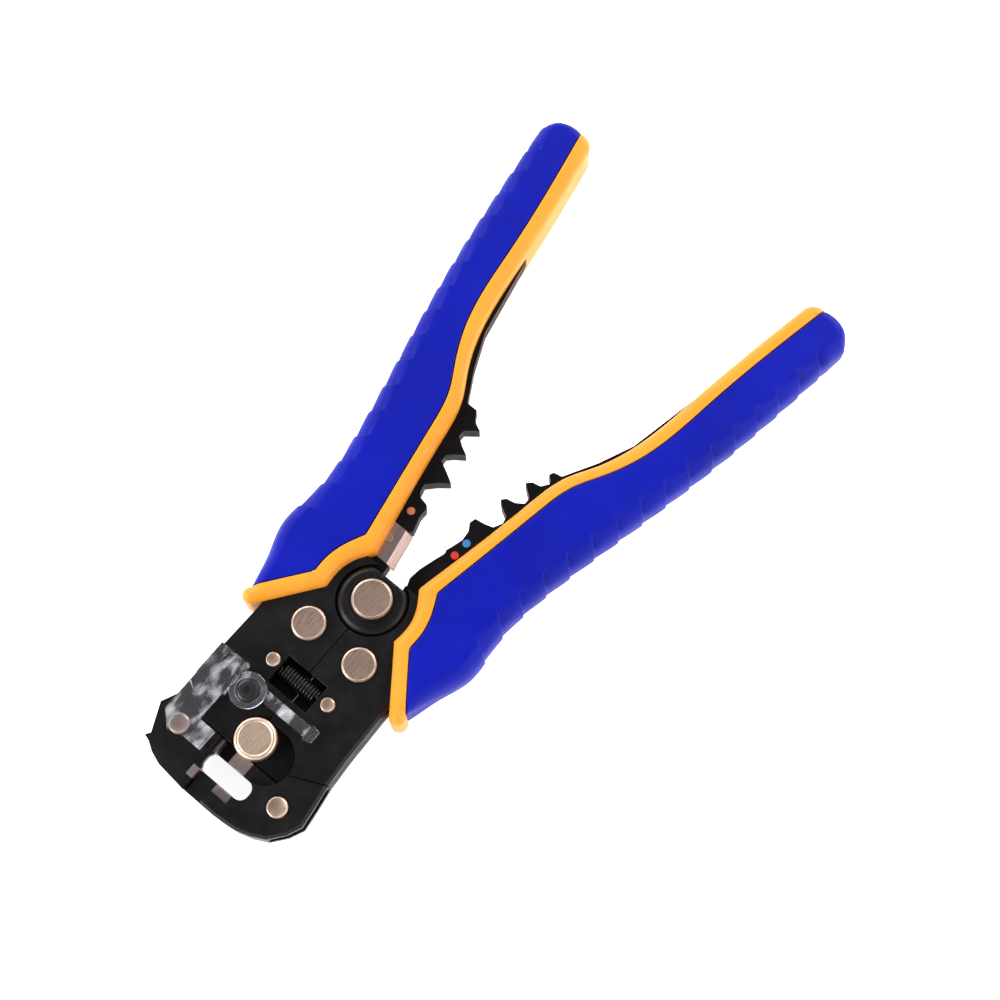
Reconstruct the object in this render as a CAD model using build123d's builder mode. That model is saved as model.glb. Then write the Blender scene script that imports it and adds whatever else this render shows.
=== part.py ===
"""Self-adjusting wire stripper with crimping jaws and a wire cutter between its handles.

Frame, in millimetres: the origin lies on the main pivot's axis, in the plane that the tool lies on.
+X runs along the tool towards its nose, +Y towards the right lever, and +Z up out of its face.
Each lever is a steel core plate, riveted between a front and a back plate at the head, with a
two-shot grip moulded round its tail. Both levers turn on the main pivot, and do not cross: as the
handles close, the two halves of the head spread apart.
"""

import os

from build123d import *

os.makedirs("parts", exist_ok=True)

# ---------------------------------------------------------------- driving dimensions

LEFT = -1
RIGHT = 1
SIDE_NAMES = {LEFT: "left", RIGHT: "right"}

GRIP_DEPTH = 15.0
CORE = 5.0
PLATE = 2.0
MID = GRIP_DEPTH / 2
CORE_LOW = MID - CORE / 2
CORE_TOP = MID + CORE / 2
BACK_LOW = CORE_LOW - PLATE
FRONT_TOP = CORE_TOP + PLATE
# Bevel along the outer edge of the right face plates, and where that edge lies.
RIM_CHAMFER = 0.8
RIM_REACH = 19.0
RIM_NOSE_X = 63.5
RIM_SPLIT_REACH = 5.1

RUNNING_FIT = 0.05
LAP_GAP = 0.1
BODY_GAP = 0.3

# Edge of each half of the head along the split line, as a distance towards its own side.
SPLIT = {LEFT: 0.0, RIGHT: BODY_GAP}

EYE_R = 7.0
COLLAR_R = 9.4
COLLAR_FLAT_X = -7.0
PLATE_BORE_R = 9.8
PIVOT_SHANK_R = 3.5
PIVOT_HEAD_R = 5.5
PIVOT_TAIL_R = 4.8
COLLAR_TOP = FRONT_TOP + 0.7
COLLAR_LOW = BACK_LOW - 1.0
PIVOT_TOP = COLLAR_TOP + 1.1
PIVOT_EDGE_R = 0.6

# Places of the fasteners in each half, as x and distance from the tool's axis.
LINK_RIVET = (15.3, 8.7)
LINK_HEAD_R = 4.65
LINK_SHANK_R = 2.5
SPRING_PIN = (28.4, 9.4)
SPRING_PIN_R = 2.0
SPRING_NECK_R = 1.1
SPRING_EYE_ROOM_R = 3.2
NOSE_RIVET = (56.2, 16.8)
NOSE_HEAD_R = 2.8
NOSE_SHANK_R = 1.5
HEAD_RISE = 0.8
RIVET_EDGE_R = 0.3

KNOB = (46.8, 1.2)
KNOB_R = 5.6
KNOB_SHAFT_R = 2.0
KNOB_BOSS_R = 3.6
KNOB_NECK_R = 4.2
KNOB_DISH_R = 4.1
KNOB_DISH_DEPTH = 0.35
KNOB_EDGE_R = 0.6
KNOB_CLEARANCE = 0.7
KNOB_LOW = FRONT_TOP + BODY_GAP
KNOB_TOP = 15.0

# The window that the wire lies across, right through the head.
SLOT_X = (55.8, 61.4)
SLOT_Y = (-5.6, 9.1)
SLOT_END_R = 2.4
BACK_SLOT_END_Y = -7.6

# Moving inner jaws, on the nose rivets between the plates.
JAW_BACK_X = 51.8
JAW_FACE_X = SLOT_X[0]
JAW_EYE_R = 2.9
JAW_LOW = CORE_LOW + LAP_GAP
JAW_TOP = CORE_TOP - LAP_GAP
OUTER_JAW_X = 61.5
WIRE_RELIEF_X = 62.6
CORE_END_X = JAW_BACK_X - 0.4

# Tip of each inner jaw: a gripper pad on the right, a stripping blade on the left.
JAW_TIP = {LEFT: 6.4, RIGHT: 4.4}
PAD_Y = (-1.0, 4.4)
FIXED_PAD_Y = (0.6, 5.6)
FIXED_PAD_X = (OUTER_JAW_X, OUTER_JAW_X + 2.3)
BLADE_Y = (-5.1, -6.3)
FIXED_BLADE_X = (OUTER_JAW_X - 0.2, 64.6)
FIXED_BLADE_Y = (-5, -7.2)
# Grooves across the pads, that bite the insulation.
GROOVES = 5
GROOVE_STEP = 0.87
GROOVE_WIDTH = 0.4
GROOVE_DEPTH = 0.25
NOSE_BLOCK_START = {LEFT: 5.0, RIGHT: -4.6}
NOSE_X = 68
JAW_SPRING_R = 1.1
JAW_SPRING_REACH = {LEFT: 11.0, RIGHT: 9.0}
JAW_SPRING_HOLE = 6.0
JAW_SPRING_CLEARANCE = 0.2
# How far the moving blade's edge stands out of its jaw.
BLADE_PROUD = 0.3

# Pocket in both halves for the tension spring that closes the head.
POCKET_X = (24.9, 33.6)
POCKET_REACH = {LEFT: 7.0, RIGHT: 6.2}
COIL_R = 2.6
COIL_WALL = 0.7
COIL_Z = FRONT_TOP - 0.6 - COIL_R
COIL_END_GAP = 0.4
COIL_EYE_Z = (MID + 0.8, MID + 0.8 + COIL_WALL)
COIL_END_TOP = FRONT_TOP - 1

# Recess in the right face plates round the tension knob.
RECESS_X = (41.0, SLOT_X[0])
RECESS_CENTRE = (48.4, 6.0)
RECESS_R = 7.4

# Clear sliding stop that sets how much wire is stripped.
STOP_LOW = FRONT_TOP + 0.15
STOP_OVER_RIVETS = FRONT_TOP + HEAD_RISE + 0.2
STOP_SCREW = (38.7, -8.7)
STOP_SCREW_R = 1.45
STOP_SCREW_FIT = 0.15
STOP_SCREW_HEAD_R = 3.0
STOP_SCREW_HEAD = 0.6
STOP_SCREW_LOW = MID + 0.5
STOP_KNOB_R = 4.9
STOP_KNOB_TOP = 14.0
STOP_NUT_R = 2.5
STOP_NUT_TOP = CORE_TOP - 0.15
NUT_CLEARANCE = 0.4
STOP_TRAVEL = 10.0
STOP_CLIP = ((34.2, 37.6), (-14.2, -19.4))
STOP_CLIP_TOP = STOP_LOW + 0.8
# The stop's block, its low arm, the foot that the wire's end meets, its rail and the rail's hook.
STOP_BLOCK = ((33.5, 43.5), (-12.8, -22), (STOP_LOW, 15.2))
STOP_ARM = [(43, -22), (55.5, -22), (59.3, -17.8), (58, -13.4), (43, -13.4)]
STOP_ARM_THICK = 1.4
STOP_FOOT = ((52, 58), (-8, -13.6), (STOP_OVER_RIVETS, 15.0))
STOP_RAIL = ((35.4, 38.6), (10.4, -9), (STOP_LOW, STOP_LOW + 1.3))
STOP_HOOK = [(35, 10.2), (39.3, 10.2), (38.6, 12.6), (35, 12.6)]
STOP_HOOK_THICK = 2.0

CUTTER_X = (-20.5, -10.2)
CUTTER_REACH = 12.0
CUTTER_ANVIL_X = (-23, -9)
CUTTER_ANVIL_Y = (0, 6)
CUTTER_RIVET = (-16, -8.3)
CUTTER_RIVET_R = 1.2
CUTTER_RIVET_RISE = 0.3
# The cutting edge, as its distance from the tool's axis at each end, and its bevel.
CUTTER_EDGE = (3.7, 1.8)
CUTTER_BEVEL_DEPTH = 2.0
CUTTER_BEVEL_WIDTH = 2.2

MARKS = {
    "mark_orange": (-25.5, -8.5),
    "mark_red": (-23.5, 8.5),
    "mark_blue": (-28.0, 8.8),
}
MARK_R = 1.1
MARK_SINK = 0.6
MARK_RISE = 0.1

GRIP_EDGE_R = 6.0

# ---------------------------------------------------------------- outlines
# Points are (x, distance from the tool's axis), and serve either side.

HEAD_EDGE = {
    LEFT: [
        (22, 22), (36, 22.3), (50, 22.3), (55, 24.6), (60.5, 22), (62.5, 21),
        (63.9, 21.9), (64.5, 20), (66, 17.5), (67.2, 14), (67.7, 8), (68, 5.2),
    ],
    RIGHT: [
        (22, 22), (36, 22.4), (44, 23), (50, 24), (56, 24.8), (60, 23),
        (64, 19.8), (66, 16), (67.3, 12), (67.8, 8), (68, 5.2),
    ],
}

# Working edge of each lever behind the pivot: crimping teeth, a wire cutter and the hub.
JAW_EDGE = {
    LEFT: [
        (-58.8, 16.6), (-58.8, 13.3), (-56, 11.5), (-54.7, 8.8), (-52, 12.2), (-50, 12.2),
        (-48.2, 9.5), (-47, 7.2), (-45, 10), (-43.5, 11.5), (-41.5, 11.3), (-40, 8.3),
        (-38.3, 5.3), (-36, 8.2), (-33.5, 10.6), (-31, 10), (-30, 8.8), (-29.5, 6.4),
        (-28.5, 5.7), (-26, 5.7), (-21.5, 4.4), (-20.6, 5.2), (-10.3, 5.2), (-10.3, 3.2),
        (-7.5, 3), (-6.8, 1),
    ],
    RIGHT: [
        (-58.8, 16.6), (-58.3, 14.2), (-57, 13.6), (-56, 14.9), (-55, 15.4), (-53, 13.9),
        (-52.5, 11.6), (-51.2, 10.2), (-50, 11.6), (-48.5, 13.7), (-46.5, 13.7), (-45, 11.6),
        (-44.5, 9.1), (-43.3, 8), (-42, 9.4), (-40.5, 12.2), (-38.5, 12.7), (-36, 11.4),
        (-35.3, 9.2), (-34.8, 6.2), (-33, 5.7), (-31, 7), (-28, 7.3), (-25, 6.4), (-20, 4.7),
        (-15, 3.2), (-11.5, 2.8), (-9, 3.8), (-7, 4),
    ],
}

TANG_INNER = [(-125, 38.4), (-100, 30.8), (-78, 26.2), (-68, 21.8), (-58.8, 16.6)]
TANG_OUTER = [(22, 22), (8, 24), (-30, 25), (-60, 31), (-80, 37), (-125, 46)]
PLATE_TAIL = [(22, 22), (8, 22), (-2, 19), (-8.4, 11), (-8.4, 5)]

# Outer edge of the soft cover, then the line between it and the hard inner band.
GRIP_OUTER = [
    (-136.3, 54.1), (-100, 48.9), (-60, 40.6), (-30, 33.8),
    (-12, 32.3), (-1, 32.9), (8, 29.9), (17.5, 26.6),
]
BAND_EDGE = [
    (-141.6, 43.1), (-100, 35.4), (-76, 30.9), (-65, 26), (-57, 21.6), (-46, 18.8), (-12, 12.5),
]
BAND_HUB = [(-12, 12.5), (-5, 15.6), (0, 16.5), (4, 16.4)]
# Web of the hard moulding inside the soft cover.
WEB = [
    (-134, 50), (-100, 45.5), (-60, 37), (-30, 30.3), (-4, 28.8), (10, 26), (10, 19),
    (0, 14.5), (-12, 10.5), (-45, 17), (-62, 22.5), (-76, 29.4), (-100, 33.8), (-134, 41),
]
# Inner edge of the hard band, along the handle and then round the hub to the front.
GRIP_INNER = [
    (-138.4, 38), (-100, 31.2), (-75, 26.3), (-66, 22.4), (-58, 17.9), (-46, 14.9), (-13, 8.2),
]
GRIP_HUB = [(-10, 7.6), (-4.5, 11), (0, 12), (4.8, 11.7), (20.8, 23.6)]
# Middle points of the arcs round the grip's two ends.
COVER_TAIL = (-140.4, 50.6)
BAND_TAIL = (-141.2, 40.2)
GRIP_FRONT = (21.7, 25.3)


# ---------------------------------------------------------------- helpers


def on_side(points, side):
    """The same points, on the left or the right of the tool's axis."""
    return [(x, side * reach) for x, reach in points]


def spot(place, side):
    return (place[0], side * place[1])


def outline_face(points, side, height):
    """Flat face with straight edges through the points, at one height."""
    with BuildSketch(Plane.XY.offset(height)) as profile:
        with BuildLine():
            Polyline(*on_side(points, side), close=True)
        make_face()
    return profile.sketch


def wire_window(height, end_y):
    """Outline of the window that the wire lies across, down to its end on the left."""
    width = SLOT_X[1] - SLOT_X[0]
    length = SLOT_Y[1] - end_y
    with BuildSketch(Plane.XY.offset(height)) as profile:
        with Locations((SLOT_X[0] + width / 2, end_y + length / 2)):
            RectangleRounded(width, length, SLOT_END_R)
    return profile.sketch


def pillar(radius, centre, low, high, mode=Mode.ADD):
    """Round bar along Z, added to or cut from the part being built."""
    with Locations((centre[0], centre[1], low)):
        Cylinder(radius, high - low, align=(Align.CENTER, Align.CENTER, Align.MIN), mode=mode)


def block(x_range, y_range, z_range, mode=Mode.ADD):
    """Rectangular block between two corners, added to or cut from the part being built."""
    with Locations((x_range[0], min(y_range), z_range[0])):
        Box(
            x_range[1] - x_range[0],
            max(y_range) - min(y_range),
            z_range[1] - z_range[0],
            align=(Align.MIN, Align.MIN, Align.MIN),
            mode=mode,
        )


# ---------------------------------------------------------------- steel core plates


def core_plate(side):
    """Core of one lever: tang, crimping teeth, half-lapped eye and the middle of the head."""
    split = SPLIT[side]
    outline = (
        JAW_EDGE[side]
        + [(JAW_EDGE[side][-1][0] + 1, split), (CORE_END_X, split), (CORE_END_X, 20)]
        + [point for point in reversed(HEAD_EDGE[side]) if 22 < point[0] < 50]
        + TANG_OUTER
        + TANG_INNER[:-1]
    )
    # The left eye lies over the right one.
    eye_low = {LEFT: MID + LAP_GAP / 2, RIGHT: CORE_LOW}[side]
    eye_high = {LEFT: CORE_TOP, RIGHT: MID - LAP_GAP / 2}[side]
    # The right lever is pressed onto the pivot, and the left one turns on it.
    pivot_bore_r = {LEFT: PIVOT_SHANK_R + RUNNING_FIT, RIGHT: PIVOT_SHANK_R}[side]
    reach = POCKET_REACH[side]
    with BuildPart() as core:
        extrude(outline_face(outline, side, CORE_LOW), amount=CORE)
        pillar(EYE_R + BODY_GAP, (0, 0), CORE_LOW, CORE_TOP, Mode.SUBTRACT)
        pillar(EYE_R, (0, 0), eye_low, eye_high)
        # A bridge joins the eye to its own lever across the clearance ring.
        with BuildSketch(Plane.XY.offset(eye_low)):
            with Locations((0, side * EYE_R)):
                Rectangle(2 * EYE_R, EYE_R)
        extrude(amount=eye_high - eye_low)
        pillar(pivot_bore_r, (0, 0), CORE_LOW, CORE_TOP, Mode.SUBTRACT)
        block(POCKET_X, (0, side * reach), (CORE_LOW, CORE_TOP), Mode.SUBTRACT)
        pillar(SPRING_EYE_ROOM_R, spot(SPRING_PIN, side), MID, CORE_TOP, Mode.SUBTRACT)
        pillar(LINK_SHANK_R, spot(LINK_RIVET, side), CORE_LOW, CORE_TOP, Mode.SUBTRACT)
        pillar(SPRING_PIN_R, spot(SPRING_PIN, side), CORE_LOW, CORE_TOP, Mode.SUBTRACT)
        if side == LEFT:
            # Seat for the cutter blade, room for the knob's boss, and a track for the stop's nut.
            block(CUTTER_X, (0, -CUTTER_REACH), (MID, CORE_TOP), Mode.SUBTRACT)
            pillar(CUTTER_RIVET_R, CUTTER_RIVET, CORE_LOW, CORE_TOP, Mode.SUBTRACT)
            pillar(KNOB_BOSS_R + BODY_GAP, KNOB, CORE_LOW, CORE_TOP, Mode.SUBTRACT)
            nut_room = STOP_NUT_R + NUT_CLEARANCE
            block(
                (STOP_SCREW[0] - nut_room, STOP_SCREW[0] + nut_room),
                (STOP_SCREW[1] + nut_room, STOP_SCREW[1] - STOP_TRAVEL - nut_room),
                (MID, CORE_TOP),
                Mode.SUBTRACT,
            )
        else:
            # The cutter blade shears past this edge, over its lower half.
            block(CUTTER_ANVIL_X, CUTTER_ANVIL_Y, (MID - LAP_GAP / 2, CORE_TOP), Mode.SUBTRACT)
            pillar(KNOB_BOSS_R, KNOB, CORE_LOW, CORE_TOP)
            pillar(KNOB_SHAFT_R + RUNNING_FIT, KNOB, CORE_LOW, CORE_TOP, Mode.SUBTRACT)
        for place in MARKS.values():
            pillar(MARK_R, place, CORE_TOP - MARK_SINK, CORE_TOP, Mode.SUBTRACT)
        # Blind hole behind the inner jaw for its return spring.
        with Locations(Location((CORE_END_X, side * JAW_SPRING_REACH[side], MID), (0, -90, 0))):
            Cylinder(
                JAW_SPRING_R + JAW_SPRING_CLEARANCE,
                JAW_SPRING_HOLE,
                align=(Align.CENTER, Align.CENTER, Align.MIN),
                mode=Mode.SUBTRACT,
            )
    return core


left_core_plate = core_plate(LEFT)
right_core_plate = core_plate(RIGHT)


# ---------------------------------------------------------------- plates over and under the cores


def head_edge_between(side, low_x, high_x):
    """Points of the head's outer edge, from the nose back towards the grip."""
    return [point for point in reversed(HEAD_EDGE[side]) if low_x < point[0] < high_x]


def cut_pivot_and_fasteners(side, low, high):
    """Clear the pivot's collar and the two fasteners behind the spring."""
    pillar(PLATE_BORE_R, (0, 0), low, high, Mode.SUBTRACT)
    pillar(LINK_SHANK_R, spot(LINK_RIVET, side), low, high, Mode.SUBTRACT)
    pillar(SPRING_PIN_R, spot(SPRING_PIN, side), low, high, Mode.SUBTRACT)


def cut_recess(low, high):
    """Open the right face plates round the tension knob, up to the wire window."""
    block(RECESS_X, (-2, RECESS_CENTRE[1]), (low, high), Mode.SUBTRACT)
    pillar(RECESS_R, RECESS_CENTRE, low, high, Mode.SUBTRACT)


def on_rim(edge):
    """Whether an edge of a right face plate lies on the head's outer edge."""
    reach = min((edge @ 0).Y, (edge @ 1).Y)
    nose = min((edge @ 0).X, (edge @ 1).X) > RIM_NOSE_X and reach > RIM_SPLIT_REACH
    return reach > RIM_REACH or nose


def chamfer_rim(plate):
    """Bevel the front face of the plate being built, along the head's outer edge."""
    face = plate.faces().sort_by(Axis.Z)[-1]
    chamfer([edge for edge in face.outer_wire().edges() if on_rim(edge)], length=RIM_CHAMFER)


# Seam between a face plate and the nose jaw's cover: straight across, then slanting to the rim.
SEAM_X = {LEFT: 51.5, RIGHT: 48.5}
SEAM_BEND = 13
SEAM_END = {LEFT: (46, 22.3), RIGHT: (43.8, 23)}
SEAM = {
    side: [(SEAM_X[side], SPLIT[side]), (SEAM_X[side], SEAM_BEND), SEAM_END[side]]
    for side in SIDE_NAMES
}
SEAM_WIDTH = 0.3


def front_plate(side):
    """Face plate from the pivot to the seam behind the nose jaw."""
    outline = (
        [(PLATE_TAIL[-1][0], SPLIT[side])] + SEAM[side]
        + head_edge_between(side, 22, SEAM[side][-1][0] - 1) + PLATE_TAIL
    )
    with BuildPart() as plate:
        extrude(outline_face(outline, side, CORE_TOP), amount=PLATE)
        cut_pivot_and_fasteners(side, CORE_TOP, FRONT_TOP)
        block(POCKET_X, (0, side * POCKET_REACH[side]), (CORE_TOP, FRONT_TOP), Mode.SUBTRACT)
        if side == RIGHT:
            cut_recess(CORE_TOP, FRONT_TOP)
        else:
            pillar(KNOB_R + KNOB_CLEARANCE, KNOB, CORE_TOP, FRONT_TOP, Mode.SUBTRACT)
            # Track that the sliding stop's screw runs in.
            track = STOP_SCREW_R + STOP_SCREW_FIT
            with BuildSketch(Plane.XY.offset(CORE_TOP)):
                with Locations((STOP_SCREW[0], STOP_SCREW[1] - STOP_TRAVEL / 2)):
                    SlotCenterToCenter(STOP_TRAVEL, 2 * track, rotation=90)
            extrude(amount=PLATE, mode=Mode.SUBTRACT)
        if side == RIGHT:
            chamfer_rim(plate)
    return plate


def back_plate(side):
    """Back plate of one half, from the pivot to the nose."""
    outline = (
        [(PLATE_TAIL[-1][0], SPLIT[side]), (NOSE_X, SPLIT[side])]
        + head_edge_between(side, 22, NOSE_X + 1) + PLATE_TAIL
    )
    with BuildPart() as plate:
        extrude(outline_face(outline, side, BACK_LOW), amount=PLATE)
        cut_pivot_and_fasteners(side, BACK_LOW, CORE_LOW)
        pillar(NOSE_SHANK_R, spot(NOSE_RIVET, side), BACK_LOW, CORE_LOW, Mode.SUBTRACT)
        extrude(wire_window(BACK_LOW, BACK_SLOT_END_Y), amount=PLATE, mode=Mode.SUBTRACT)
    return plate


left_front_plate = front_plate(LEFT)
right_front_plate = front_plate(RIGHT)
left_back_plate = back_plate(LEFT)
right_back_plate = back_plate(RIGHT)


# ---------------------------------------------------------------- fixed nose jaws

# Inner edge of each cover, from the seam to the nose.
COVER_INNER = {
    LEFT: [(SEAM_X[LEFT] + SEAM_WIDTH, 6.4), (56, 6.4), (56, 5), (NOSE_X, 5)],
    RIGHT: [(SEAM_X[RIGHT] + SEAM_WIDTH, 6), (63.8, 6), (63.8, 0.5), (NOSE_X, 0.5)],
}


def nose_jaw(side):
    """Fixed outer jaw: a block at the nose with a cover that reaches back to the seam."""
    seam_end = SEAM_END[side]
    cover = (
        [(SEAM_X[side] + SEAM_WIDTH, SEAM_BEND)] + COVER_INNER[side]
        + head_edge_between(side, seam_end[0] + 1, NOSE_X + 1)
        + [(seam_end[0] + SEAM_WIDTH, seam_end[1])]
    )
    start = NOSE_BLOCK_START[side]
    edge = head_edge_between(side, WIRE_RELIEF_X - 0.2, NOSE_X + 1)
    relief = [(WIRE_RELIEF_X, edge[-1][1]), (WIRE_RELIEF_X, 9.5), (OUTER_JAW_X, 8)]
    face = [(OUTER_JAW_X, start), (NOSE_X, start)]
    jaw_block = relief + face + [point for point in edge if point[0] > WIRE_RELIEF_X]
    with BuildPart() as jaw:
        extrude(outline_face(cover, side, CORE_TOP), amount=PLATE)
        extrude(outline_face(jaw_block, side, CORE_LOW), amount=CORE)
        extrude(wire_window(CORE_TOP, SLOT_Y[0]), amount=PLATE, mode=Mode.SUBTRACT)
        pillar(NOSE_SHANK_R, spot(NOSE_RIVET, side), CORE_TOP, FRONT_TOP, Mode.SUBTRACT)
        if side == RIGHT:
            cut_recess(CORE_TOP, FRONT_TOP)
            block(FIXED_PAD_X, FIXED_PAD_Y, (CORE_LOW, CORE_TOP), Mode.SUBTRACT)
            chamfer_rim(jaw)
        else:
            block(FIXED_BLADE_X, FIXED_BLADE_Y, (CORE_LOW, FRONT_TOP), Mode.SUBTRACT)
    return jaw


left_nose_jaw = nose_jaw(LEFT)
right_nose_jaw = nose_jaw(RIGHT)


# ---------------------------------------------------------------- moving inner jaws


def inner_jaw(side):
    """Jaw that swings on its nose rivet, between the plates."""
    bar = (side * JAW_TIP[side], side * NOSE_RIVET[1])
    with BuildPart() as jaw:
        block((JAW_BACK_X, JAW_FACE_X), bar, (JAW_LOW, JAW_TOP))
        pillar(JAW_EYE_R, spot(NOSE_RIVET, side), JAW_LOW, JAW_TOP)
        pillar(NOSE_SHANK_R + RUNNING_FIT, spot(NOSE_RIVET, side), JAW_LOW, JAW_TOP, Mode.SUBTRACT)
    return jaw


def cut_grooves(face_x, first_y):
    """Cut a row of grooves across the face of the pad being built."""
    for step in range(GROOVES):
        middle = first_y + GROOVE_STEP * (step + 1)
        block(
            (face_x - GROOVE_DEPTH, face_x + GROOVE_DEPTH),
            (middle - GROOVE_WIDTH / 2, middle + GROOVE_WIDTH / 2),
            (CORE_LOW, CORE_TOP),
            Mode.SUBTRACT,
        )


blade_jaw = inner_jaw(LEFT)
gripper_jaw = inner_jaw(RIGHT)

with BuildPart() as gripper_pad_moving:
    block((JAW_BACK_X, JAW_FACE_X), PAD_Y, (JAW_LOW, JAW_TOP))
    cut_grooves(JAW_FACE_X, PAD_Y[0])

with BuildPart() as gripper_pad_fixed:
    block(FIXED_PAD_X, FIXED_PAD_Y, (CORE_LOW, CORE_TOP))
    cut_grooves(OUTER_JAW_X, FIXED_PAD_Y[0])

with BuildPart() as stripping_blade_moving:
    block((JAW_BACK_X, JAW_FACE_X + BLADE_PROUD), BLADE_Y, (JAW_LOW, JAW_TOP))

with BuildPart() as stripping_blade_fixed:
    block(FIXED_BLADE_X, FIXED_BLADE_Y, (CORE_LOW, FRONT_TOP - LAP_GAP))


# ---------------------------------------------------------------- pivot, rivets and pins

with BuildPart() as main_pivot:
    pillar(PIVOT_TAIL_R, (0, 0), 0, COLLAR_LOW)
    pillar(PIVOT_SHANK_R, (0, 0), COLLAR_LOW, COLLAR_TOP)
    pillar(PIVOT_HEAD_R, (0, 0), COLLAR_TOP, PIVOT_TOP)
    fillet(main_pivot.faces().sort_by(Axis.Z)[-1].edges(), PIVOT_EDGE_R)


def pivot_collar(low, high):
    """Round collar with a flat towards the handles, under one end of the main pivot."""
    with BuildPart() as collar:
        pillar(COLLAR_R, (0, 0), low, high)
        block((-2 * COLLAR_R, COLLAR_FLAT_X), (-COLLAR_R, COLLAR_R), (low, high), Mode.SUBTRACT)
        pillar(PIVOT_SHANK_R, (0, 0), low, high, Mode.SUBTRACT)
    return collar


pivot_collar_front = pivot_collar(CORE_TOP + RUNNING_FIT, COLLAR_TOP)
pivot_collar_back = pivot_collar(COLLAR_LOW, CORE_LOW - RUNNING_FIT)


def rivet(place, head_r, shank_r):
    """Through rivet with a flat-topped head on both faces of the head."""
    with BuildPart() as fastener:
        pillar(head_r, place, BACK_LOW - HEAD_RISE, BACK_LOW)
        pillar(shank_r, place, BACK_LOW, FRONT_TOP)
        pillar(head_r, place, FRONT_TOP, FRONT_TOP + HEAD_RISE)
        fillet(fastener.faces().sort_by(Axis.Z)[-1].edges(), RIVET_EDGE_R)
    return fastener


left_link_rivet = rivet(spot(LINK_RIVET, LEFT), LINK_HEAD_R, LINK_SHANK_R)
right_link_rivet = rivet(spot(LINK_RIVET, RIGHT), LINK_HEAD_R, LINK_SHANK_R)
left_nose_rivet = rivet(spot(NOSE_RIVET, LEFT), NOSE_HEAD_R, NOSE_SHANK_R)
right_nose_rivet = rivet(spot(NOSE_RIVET, RIGHT), NOSE_HEAD_R, NOSE_SHANK_R)


def spring_pin(side):
    """Pin pressed through one half, necked where the spring's eye sits."""
    place = spot(SPRING_PIN, side)
    with BuildPart() as pin:
        pillar(SPRING_PIN_R, place, BACK_LOW, MID)
        pillar(SPRING_NECK_R, place, MID, CORE_TOP)
        pillar(SPRING_PIN_R, place, CORE_TOP, FRONT_TOP + HEAD_RISE)
    return pin


left_spring_pin = spring_pin(LEFT)
right_spring_pin = spring_pin(RIGHT)

with BuildPart() as cutter_rivet:
    pillar(CUTTER_RIVET_R, CUTTER_RIVET, CORE_LOW, CORE_TOP + CUTTER_RIVET_RISE)

# ---------------------------------------------------------------- springs

with BuildPart() as head_spring:
    coil_start = -POCKET_REACH[LEFT] + COIL_END_GAP
    coil_end = POCKET_REACH[RIGHT] - COIL_END_GAP
    with Locations(Location((SPRING_PIN[0], coil_start, COIL_Z), (-90, 0, 0))):
        Cylinder(COIL_R, coil_end - coil_start, align=(Align.CENTER, Align.CENTER, Align.MIN))
        Cylinder(
            COIL_R - COIL_WALL,
            coil_end - coil_start,
            align=(Align.CENTER, Align.CENTER, Align.MIN),
            mode=Mode.SUBTRACT,
        )
    for side, end in ((LEFT, coil_start), (RIGHT, coil_end)):
        eye = spot(SPRING_PIN, side)
        end_plate_x = (eye[0] - 2 * COIL_WALL, eye[0] + 2 * COIL_WALL)
        hook_x = (eye[0] - COIL_WALL / 2, eye[0] + COIL_WALL / 2)
        block(end_plate_x, (end, end - side * COIL_WALL), (MID, COIL_END_TOP))
        block(hook_x, (end - side * COIL_WALL, eye[1]), COIL_EYE_Z)
        pillar(SPRING_NECK_R + COIL_WALL, eye, *COIL_EYE_Z)
        pillar(SPRING_NECK_R, eye, *COIL_EYE_Z, Mode.SUBTRACT)


def jaw_spring(side):
    """Small coil, drawn as a plain bar, between the core plate and the inner jaw's back."""
    start_x = CORE_END_X - JAW_SPRING_HOLE
    with BuildPart() as spring:
        with Locations(Location((start_x, side * JAW_SPRING_REACH[side], MID), (0, 90, 0))):
            Cylinder(JAW_SPRING_R, JAW_BACK_X - start_x, align=(Align.CENTER, Align.CENTER, Align.MIN))
    return spring


blade_jaw_spring = jaw_spring(LEFT)
gripper_jaw_spring = jaw_spring(RIGHT)

# ---------------------------------------------------------------- tension knob

with BuildPart() as tension_knob:
    pillar(KNOB_SHAFT_R, KNOB, CORE_LOW, KNOB_LOW)
    pillar(KNOB_NECK_R, KNOB, CORE_TOP + LAP_GAP, KNOB_LOW)
    pillar(KNOB_R, KNOB, KNOB_LOW, KNOB_TOP)
    fillet(tension_knob.faces().sort_by(Axis.Z)[-1].edges(), KNOB_EDGE_R)
    pillar(KNOB_DISH_R, KNOB, KNOB_TOP - KNOB_DISH_DEPTH, KNOB_TOP, Mode.SUBTRACT)

# ---------------------------------------------------------------- wire cutter and colour marks

with BuildPart() as cutter_blade:
    cutter_outline = [
        (CUTTER_X[0], CUTTER_EDGE[0]),
        (CUTTER_X[1], CUTTER_EDGE[1]),
        (CUTTER_X[1], CUTTER_REACH),
        (CUTTER_X[0], CUTTER_REACH),
    ]
    extrude(outline_face(cutter_outline, LEFT, MID), amount=CORE_TOP - MID)
    cutting_edge = cutter_blade.faces().sort_by(Axis.Z)[-1].edges().sort_by(Axis.Y)[-1]
    chamfer(cutting_edge, length=CUTTER_BEVEL_DEPTH, length2=CUTTER_BEVEL_WIDTH)
    pillar(CUTTER_RIVET_R, CUTTER_RIVET, MID, CORE_TOP, Mode.SUBTRACT)

# ---------------------------------------------------------------- sliding wire stop

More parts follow.
